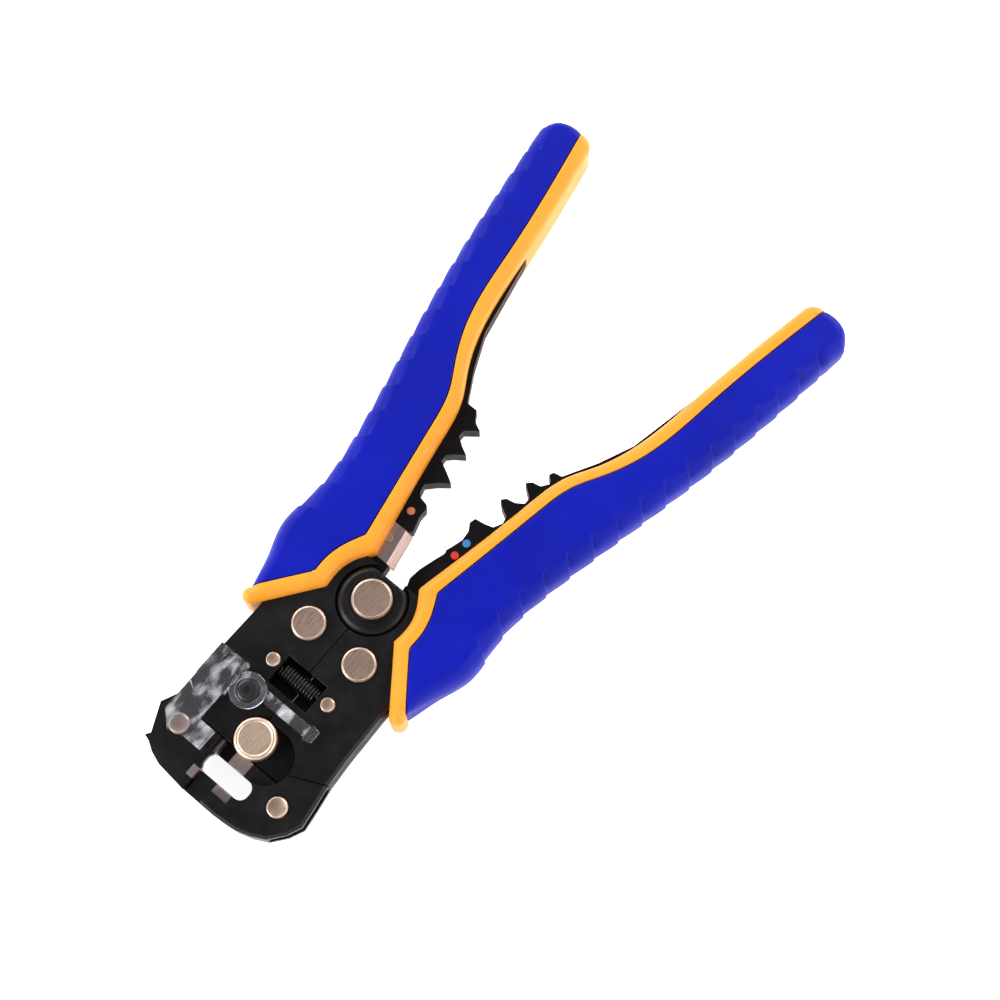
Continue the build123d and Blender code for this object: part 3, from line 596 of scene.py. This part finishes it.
def add_small_fasteners():
    """Cutter rivet, the stop's screw and nut, and the painted marks beside the crimping jaws."""
    for node, (body, slot, edge) in DISCS.items():
        low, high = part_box(node)
        radius = (high.x - low.x) / 2 / MM
        bottom, top = low.z / MM, high.z / MM
        profile = [(0, bottom), (radius, bottom), (radius, top - edge), (radius - edge, top), (0, top)]
        stand_in(lathe(f"{node}_turned", slot, profile, node_axis(node)), body, node)
    low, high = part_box("wire_stop_screw")
    bottom, top = low.z / MM, high.z / MM
    radius = (high.x - low.x) / 2 / MM
    profile = [(0, bottom), (SCREW_SHANK_R, bottom), (SCREW_SHANK_R, top - SCREW_HEAD_HEIGHT)]
    profile += rim(radius, top, SCREW_RIM) + hollow(top, SCREW_SOCKET)
    piece = lathe("wire_stop_screw_turned", "screw_black", profile, node_axis("wire_stop_screw"))
    stand_in(piece, "stop_slide", "wire_stop_screw")


# ---------------------------------------------------------------- springs

WIRE_SIDES = 12
WIRE_SMOOTH_DEG = 60


def wire(name, slot, path, radius):
    """Round wire along a path of points, with flat ends."""
    points = []
    faces = []
    across = Vector((0, 0, 1))
    for index, place in enumerate(path):
        ahead = path[min(index + 1, len(path) - 1)] - path[max(index - 1, 0)]
        ahead.normalize()
        # The cross-section turns as little as it can from one point to the next.
        across = (across - ahead * across.dot(ahead)).normalized()
        beside = ahead.cross(across)
        for step in range(WIRE_SIDES):
            angle = 2 * math.pi * step / WIRE_SIDES
            points.append(place + (across * math.cos(angle) + beside * math.sin(angle)) * radius)
    for index in range(len(path) - 1):
        start = index * WIRE_SIDES
        for step in range(WIRE_SIDES):
            ahead = (step + 1) % WIRE_SIDES
            faces.append((start + step, start + ahead, start + WIRE_SIDES + ahead, start + WIRE_SIDES + step))
    faces.append(tuple(range(WIRE_SIDES)))
    faces.append(tuple(range(len(points) - WIRE_SIDES, len(points))))
    return new_piece(name, slot, points, faces, WIRE_SMOOTH_DEG)


def helix(start, end, radius, turns, steps_a_turn=28):
    """Points of a coil from start to end, which starts and ends on its upper side."""
    start = Vector(start)
    run = Vector(end) - start
    up = Vector((0, 0, 1))
    beside = run.normalized().cross(up)
    points = []
    for step in range(turns * steps_a_turn + 1):
        angle = 2 * math.pi * step / steps_a_turn
        along = start + run * step / (turns * steps_a_turn)
        points.append(along + (up * math.cos(angle) + beside * math.sin(angle)) * radius)
    return points


HEAD_COIL_TURNS = 13
HEAD_WIRE_R = 0.36
HEAD_COIL_R = 2.22
HEAD_SPRING_R = 2.6
HEAD_COIL_Y = {RIGHT: 5.5, LEFT: -6.3}
# The coil stretches between these places, with a hook outside each.
HOOK_R = 1.5
PIN_REACH = 9.4
EYE_Z = 8.65
HOOK_STEPS = 25
HOOK_FIRST_DEG = 250
HOOK_STEP_DEG = 12
# Places of two more points on the way from the hook to the coil.
HOOK_LEAD = (0.35, 0.7)


def hook(side, axis_x, join):
    """Loop round a spring pin, from its free end in to where it joins the coil."""
    eye = Vector((axis_x, side * PIN_REACH, EYE_Z))
    points = []
    for step in range(HOOK_STEPS):
        angle = math.radians(HOOK_FIRST_DEG - HOOK_STEP_DEG * step)
        offset = Vector((math.cos(angle), side * math.sin(angle), 0)) * HOOK_R
        points.append(eye + offset)
    return points + [points[-1].lerp(join, part) for part in HOOK_LEAD]


def add_head_spring():
    low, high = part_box("head_spring")
    axis_x = (low.x + high.x) / 2 / MM
    coil_z = high.z / MM - HEAD_SPRING_R
    right_end = (axis_x, HEAD_COIL_Y[RIGHT], coil_z)
    left_end = (axis_x, HEAD_COIL_Y[LEFT], coil_z)
    coil = helix(right_end, left_end, HEAD_COIL_R, HEAD_COIL_TURNS)
    path = hook(RIGHT, axis_x, coil[0]) + coil + list(reversed(hook(LEFT, axis_x, coil[-1])))
    spring = wire("head_spring_coil", "spring_steel", path, HEAD_WIRE_R)
    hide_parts("head_spring")
    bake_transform(spring)


JAW_COIL_R = 0.88
JAW_COIL_TURNS = 8
JAW_COIL_STEPS = 20
JAW_WIRE_R = 0.2


def add_jaw_springs():
    for side, node in ((LEFT, "blade_jaw_spring"), (RIGHT, "gripper_jaw_spring")):
        low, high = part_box(node)
        middle = (low + high) / 2 / MM
        start = (low.x / MM + JAW_WIRE_R, middle.y, middle.z)
        end = (high.x / MM - JAW_WIRE_R, middle.y, middle.z)
        path = helix(start, end, JAW_COIL_R, JAW_COIL_TURNS, JAW_COIL_STEPS)
        stand_in(wire(f"{node}_coil", "spring_steel", path, JAW_WIRE_R), LEVER[side], node)


# ---------------------------------------------------------------- grips
# Each grip is a rounded height over its plan, the same above and below its middle plane.

GRIP_OUTER = [
    (-136.3, 54.1), (-100, 48.9), (-60, 40.6), (-30, 33.8),
    (-12, 32.3), (-1, 32.9), (8, 29.9), (17.5, 26.6),
]
BAND_EDGE = [
    (-141.6, 43.1), (-100, 35.4), (-76, 30.9), (-65, 26), (-57, 21.6), (-46, 18.8), (-12, 12.5),
]
BAND_HUB = [(-12, 12.5), (-5, 15.6), (0, 16.5), (4, 16.4)]
GRIP_INNER = [
    (-138.4, 38), (-100, 31.2), (-75, 26.3), (-66, 22.4), (-58, 17.9), (-46, 14.9), (-13, 8.2),
]
GRIP_HUB = [(-10, 7.6), (-4.5, 11), (0, 12), (4.8, 11.7), (20.8, 23.6)]
COVER_TAIL = (-140.4, 50.6)
BAND_TAIL = (-141.2, 40.2)
GRIP_FRONT = (21.7, 25.3)

# Rounding of the edges, as its reach in plan and its drop: full on the flank, small elsewhere.
FLANK = (4.4, 6.4)
BEAD = (2.8, 3.0)
FLANK_FADE_X = (6.0, 17.5)
FLANK_FADE_TAIL = (0.55, 1.0)
GROOVE_R = 0.55
GROOVE_GAP = 0.14

RIB_FIRST_X = -127.2
RIB_PITCH = 8.0
RIBS = 15
RIB_DEPTH = 0.5
RIB_STEP = 0.36
RIB_RAMP_POWER = 1.5
RIB_SLANT = 0.7
# The ribs fade in before the first one, and out round the end of the last one.
RIBS_BEGIN = (-4, 0)
RIBS_END = (-1, 5)
RIB_FADE = (2.0, 4.4)
# The step also drops the face beside the flank, so that each rib ends in a short stroke there.
RIB_DROP = 0.6
RIB_DROP_START = (0.3, 1.6)
RIB_DROP_FADE = (3.7, 4.7)
# The cross-sections turn from square to slanting ribs over these stretches of X.
SLANT_TAIL = (-136, -124)
SLANT_FRONT = (-14, 4)
GRIP_SMOOTH_DEG = 50

# Spacing of the cross-sections along a grip: they crowd together at its ends and across each rib's
# step. The gaps keep the evenly spaced ones clear of the crowded ones.
END_REACH = 5.0
END_SECTIONS = 26
END_GAP = 0.1
COVER_START_GAP = 0.4
COVER_SPACING = 0.6
BAND_START_GAP = 0.2
BAND_SPACING = 0.7
FRONT_SPACING = 0.5
MIN_SPACING = 0.05
STEP_SECTIONS = 6
RAMP_START = 0.9
RAMP_SPACING = 0.55
RAMP_END_GAP = 0.2

# Points across a section: on its rounded edge, on its face and in its groove. The edge and the
# groove never take more than these shares of its width.
SECTION_COUNTS = (16, 9, 7)
EDGE_SHARE = 0.6
GROOVE_SHARE = 0.2


def smooth_step(value, low, high):
    part = np.clip((value - low) / (high - low), 0, 1)
    return part * part * (3 - 2 * part)


def curve(points, spacing=0.3):
    """Natural cubic spline through the points, by distance along the chords."""
    points = np.array(points, float)
    chord = np.concatenate([[0], np.cumsum(np.linalg.norm(np.diff(points, axis=0), axis=1))])
    gap = np.diff(chord)
    count = len(points)
    system = np.eye(count)
    right = np.zeros((count, 2))
    for row in range(1, count - 1):
        system[row, row - 1:row + 2] = gap[row - 1], 2 * (gap[row - 1] + gap[row]), gap[row]
        slope = np.diff(points[row - 1:row + 2], axis=0) / gap[row - 1:row + 1, None]
        right[row] = 6 * (slope[1] - slope[0])
    bend = np.linalg.solve(system, right)
    along = np.linspace(0, chord[-1], int(chord[-1] / spacing) + 2)
    span_index = np.clip(np.searchsorted(chord, along, side="right") - 1, 0, count - 2)
    width = gap[span_index][:, None]
    after = (along - chord[span_index])[:, None]
    before = width - after
    start, end = span_index, span_index + 1
    return (
        (bend[start] * before ** 3 + bend[end] * after ** 3) / (6 * width)
        + (points[start] / width - bend[start] * width / 6) * before
        + (points[end] / width - bend[end] * width / 6) * after
    )


def arc(start, middle, end, count=40):
    """Points of the round arc through three points."""
    start, middle, end = (np.array(point, float) for point in (start, middle, end))
    rows = 2 * np.array([middle - start, end - start])
    sums = np.array([middle @ middle - start @ start, end @ end - start @ start])
    centre = np.linalg.solve(rows, sums)
    radius = np.linalg.norm(start - centre)
    angles = [math.atan2(*(point - centre)[::-1]) for point in (start, middle, end)]
    turn = math.copysign(2 * math.pi, angles[1] - angles[0])
    if abs(angles[1] - angles[0]) > math.pi:
        turn = -turn
    sweep = angles[2] - angles[0]
    if sweep * turn < 0:
        sweep += turn
    steps = angles[0] + sweep * np.linspace(0, 1, count)
    return centre + radius * np.stack([np.cos(steps), np.sin(steps)], axis=1)


def straight(start, end, count=30):
    return np.array(start, float) + np.linspace(0, 1, count)[:, None] * (np.array(end) - np.array(start))


def distance(places, line, batch=4000):
    """Distance from each place to a line of points, the nearest of those and the foot on the line."""
    nearest = np.empty(len(places), int)
    for start in range(0, len(places), batch):
        part = places[start:start + batch]
        gaps = ((part[:, None, :] - line[None, :, :]) ** 2).sum(axis=2)
        nearest[start:start + batch] = gaps.argmin(axis=1)
    best = np.full(len(places), np.inf)
    foot = line[nearest].copy()
    for shift in (-1, 0):
        begin = np.clip(nearest + shift, 0, len(line) - 2)
        along = line[begin + 1] - line[begin]
        part = ((places - line[begin]) * along).sum(axis=1) / np.maximum((along ** 2).sum(axis=1), 1e-12)
        point = line[begin] + np.clip(part, 0, 1)[:, None] * along
        reach = np.linalg.norm(places - point, axis=1)
        closer = reach < best
        best = np.where(closer, reach, best)
        foot = np.where(closer[:, None], point, foot)
    return best, nearest, foot


OUTER = curve(GRIP_OUTER)
TAIL_OF_COVER = arc(BAND_EDGE[0], COVER_TAIL, GRIP_OUTER[0])
TAIL_OF_BAND = arc(BAND_EDGE[0], BAND_TAIL, GRIP_INNER[0])
BAND = np.concatenate([curve(BAND_EDGE), curve(BAND_HUB), straight(BAND_HUB[-1], GRIP_OUTER[-1])])
INNER = np.concatenate([
    curve(GRIP_INNER), straight(GRIP_INNER[-1], GRIP_HUB[0]),
    curve(GRIP_HUB[:-1]), straight(GRIP_HUB[-2], GRIP_HUB[-1]),
])
FRONT = arc(GRIP_HUB[-1], GRIP_FRONT, GRIP_OUTER[-1])


def cover_rounding():
    """Outer boundary of the soft cover, with the rounding at each of its points."""
    tail = smooth_step(np.linspace(0, 1, len(TAIL_OF_COVER)), *FLANK_FADE_TAIL)
    front = 1 - smooth_step(OUTER[:, 0], *FLANK_FADE_X)
    share = np.concatenate([tail, front])[:, None]
    rounding = np.array(BEAD) + share * (np.array(FLANK) - np.array(BEAD))
    return np.concatenate([TAIL_OF_COVER, OUTER]), rounding


def frame_rounding():
    """Boundary of the hard band away from the cover, with the rounding at each of its points."""
    line = np.concatenate([TAIL_OF_BAND, INNER, FRONT])
    return line, np.tile(np.array(BEAD), (len(line), 1))


def chains(loop):
    """The outer and inner halves of a closed plan outline, from its rearmost to its foremost point."""
    loop = np.roll(loop, -int(loop[:, 0].argmin()), axis=0)
    peak = int(loop[:, 0].argmax())
    halves = [loop[:peak + 1], np.concatenate([loop[peak:], loop[:1]])[::-1]]
    return sorted(halves, key=lambda half: -half[:, 1].mean())


def end_spacing(low, high):
    """Stations that crowd together towards both ends, and are left out between them."""
    angle = np.linspace(0, math.pi / 2, END_SECTIONS)
    near = END_REACH * (1 - np.cos(angle))
    return low + near, high - near[::-1]


def rib_stations():
    """Stations close together across each rib's step, and further apart along its ramp."""
    ramp_offsets = np.arange(RAMP_START, RIB_PITCH - RAMP_END_GAP, RAMP_SPACING)
    offsets = np.concatenate([np.linspace(0, RIB_STEP, STEP_SECTIONS), ramp_offsets])
    return np.concatenate([RIB_FIRST_X + RIB_PITCH * index + offsets for index in range(RIBS)])


def rib_sink(station):
    """How far the flank is sunk at a station: a step out, then a long ramp back in."""
    phase = np.mod(station - RIB_FIRST_X, RIB_PITCH)
    step = 1 - smooth_step(phase, 0, RIB_STEP)
    ramp_back = np.clip((phase - RIB_STEP) / (RIB_PITCH - RIB_STEP), 0, 1) ** RIB_RAMP_POWER
    last_x = RIB_FIRST_X + RIB_PITCH * RIBS
    begun = smooth_step(station, RIB_FIRST_X + RIBS_BEGIN[0], RIB_FIRST_X + RIBS_BEGIN[1])
    inside = begun * (1 - smooth_step(station, last_x + RIBS_END[0], last_x + RIBS_END[1]))
    return RIB_DEPTH * np.where(phase < RIB_STEP, step, ramp_back) * inside


def section_steps():
    """Shares of the edge, the face and the groove of a section at which its points lie."""
    edge_count, flat_count, groove_count = SECTION_COUNTS
    edge = 1 - np.cos(np.linspace(0, math.pi / 2, edge_count))
    flat = np.linspace(0, 1, flat_count + 1)[1:]
    groove = np.sin(np.linspace(0, math.pi / 2, groove_count + 1))[1:]
    return edge, flat, groove


def section_stations(low_x, high_x, ribbed):
    """Places along the grip of its cross-sections, from the tail to the front."""
    rear, front = end_spacing(low_x, high_x)
    first_x = low_x + END_REACH
    last_x = high_x - END_REACH - END_GAP
    if ribbed:
        tail = np.arange(first_x + COVER_START_GAP, RIB_FIRST_X, COVER_SPACING)
        middle = np.concatenate([tail, rib_stations()])
    else:
        middle = np.arange(first_x + BAND_START_GAP, last_x, BAND_SPACING)
    middle = np.concatenate([middle, np.arange(middle[-1] + FRONT_SPACING, last_x, FRONT_SPACING)])
    middle = middle[(middle > rear[-1] + MIN_SPACING) & (middle < front[0] - MIN_SPACING)]
    return np.concatenate([rear, middle, front])


def section_plan(stations, edge_chain, groove_chain, ribbed):
    """Plan places of each cross-section, from the outer edge in to the groove."""
    slant = np.zeros(len(stations))
    if ribbed:
        slant = smooth_step(stations, *SLANT_TAIL) * (1 - smooth_step(stations, *SLANT_FRONT))
    edge_steps, flat_steps, groove_steps = section_steps()
    plan = []
    for station, tilt in zip(stations, slant):
        edge_y = np.interp(station, edge_chain[:, 0], edge_chain[:, 1])
        back = tilt * RIB_SLANT * FLANK[0]
        groove_y = np.interp(station - back, groove_chain[:, 0], groove_chain[:, 1])
        width = abs(groove_y - edge_y)
        rounded = min(FLANK[0] if ribbed else BEAD[0], EDGE_SHARE * width)
        lip = min(GROOVE_R, GROOVE_SHARE * width)
        reach = np.concatenate([
            edge_steps * rounded,
            rounded + flat_steps * (width - lip - rounded),
            width - lip + groove_steps * lip,
        ])
        share = np.clip(reach / max(rounded, 1e-9), 0, 1)
        x = station - back * share
        plan.append(np.stack([x, edge_y + np.sign(groove_y - edge_y) * reach], axis=1))
    return np.array(plan)


def rounded_height(edge_gap, sizes, groove_gap):
    """Height over the middle plane: rounded at the boundary, with half a groove at the band edge."""
    reach, drop = sizes.T
    share = np.clip(edge_gap / reach, 0, 1)
    height = GRIP_MID - drop * (1 - np.sqrt(1 - (1 - share) ** 2))
    dip = np.clip(groove_gap / GROOVE_R, 0, 1)
    height = height - GROOVE_R * (1 - np.sqrt(1 - (1 - dip) ** 2))
    return np.maximum(height, 0)


def shell_faces(rows, columns):
    """Faces of a closed shell whose upper and lower sheets are each a grid of sections."""
    under = rows * columns
    faces = []
    for row in range(rows - 1):
        for column in range(columns - 1):
            corner = row * columns + column
            quad = (corner, corner + 1, corner + columns + 1, corner + columns)
            faces.append(quad)
            faces.append(tuple(index + under for index in reversed(quad)))
        for corner in (row * columns, row * columns + columns - 1):
            faces.append((corner, corner + columns, corner + columns + under, corner + under))
    return faces


def grip_piece(name, slot, side, loop, rounding, ribbed):
    """Closed grip part over a plan outline, rounded at its boundary and grooved at the band edge."""
    line, sizes = rounding
    outer, inner = chains(loop)
    edge_chain, groove_chain = (outer, inner) if ribbed else (inner, outer)
    stations = section_stations(loop[:, 0].min(), loop[:, 0].max(), ribbed)
    plan = section_plan(stations, edge_chain, groove_chain, ribbed)
    rows, columns = plan.shape[:2]
    flat = plan.reshape(-1, 2)
    edge_gap, nearest, foot = distance(flat, line)
    groove_gap, _, groove_foot = distance(flat, BAND)
    height = rounded_height(edge_gap, sizes[nearest], groove_gap)
    moved = flat.copy()
    if ribbed:
        # The ribs push the flank inwards, less and less towards the face, and dent the face beside it.
        ribs = rib_sink(np.repeat(stations, columns))
        sink = ribs * (1 - smooth_step(edge_gap, *RIB_FADE))
        dent = (1 - smooth_step(edge_gap, *RIB_DROP_FADE)) * smooth_step(edge_gap, *RIB_DROP_START)
        height = height - RIB_DROP * ribs / RIB_DEPTH * dent
        inward = flat - foot
        inward[edge_gap < 1e-3] = (0, -1)
        inward /= np.linalg.norm(inward, axis=1)[:, None]
        moved += inward * sink[:, None]
    # The two mouldings meet at the groove without sharing a surface.
    beside_groove = np.linalg.norm(moved - groove_foot, axis=1) < GROOVE_GAP
    moved[beside_groove, 1] += GROOVE_GAP * (1 if ribbed else -1)
    points = [(x, side * y, GRIP_MID + z) for (x, y), z in zip(moved, height)]
    points += [(x, side * y, GRIP_MID - z) for (x, y), z in zip(moved, height)]
    return new_piece(name, slot, points, shell_faces(rows, columns), GRIP_SMOOTH_DEG)


def add_grips():
    cover_loop = np.concatenate([TAIL_OF_COVER, OUTER, BAND[::-1]])
    frame_loop = np.concatenate([BAND, FRONT[::-1], INNER[::-1], TAIL_OF_BAND[::-1]])
    for side in (LEFT, RIGHT):
        name = SIDE_NAME[side]
        cover = grip_piece(
            f"{name}_soft_cover", "blue_rubber", side, cover_loop, cover_rounding(), ribbed=True
        )
        stand_in(cover, LEVER[side], f"{name}_grip_cover")
        band = grip_piece(
            f"{name}_hard_band", "yellow_plastic", side, frame_loop, frame_rounding(), ribbed=False
        )
        stand_in(band, LEVER[side], f"{name}_grip_frame")


# ---------------------------------------------------------------- clear wire stop

STOP_EDGE = 0.35
CLIP_EDGE = 0.08
THUMB_R = 4.9
THUMB_SEAT = 14.02
THUMB_TOP = 14.9
THUMB_RIM = [(0, 0.5), (0.15, 0.15), (0.5, 0)]
THUMB_BORE = [(3.9, 0), (3.5, 0.15), (3.3, 0.5)]


def add_wire_stop():
    """Clear moulded slide with softened edges, a raised thumb ring and a bent steel clip."""
    bevelled("wire_stop", "stop_slide", "clear_plastic", STOP_EDGE)
    bevelled("wire_stop_clip", "stop_slide", "blade_steel", CLIP_EDGE)
    profile = [(THUMB_BORE[-1][0], THUMB_SEAT), (THUMB_R, THUMB_SEAT)]
    profile += rim(THUMB_R, THUMB_TOP, THUMB_RIM) + hollow(THUMB_TOP, THUMB_BORE)
    ring = lathe("wire_stop_thumb_ring", "clear_plastic", profile, node_axis("wire_stop_screw"))
    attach(ring, "stop_slide")


# ---------------------------------------------------------------- camera, floor, light and pieces

add_camera()
add_floor(FLOOR_WHITE)
add_studio()
add_plates()
add_rivets()
add_main_pivot()
add_collars()
add_knob()
add_small_fasteners()
add_head_spring()
add_jaw_springs()
add_grips()
add_wire_stop()
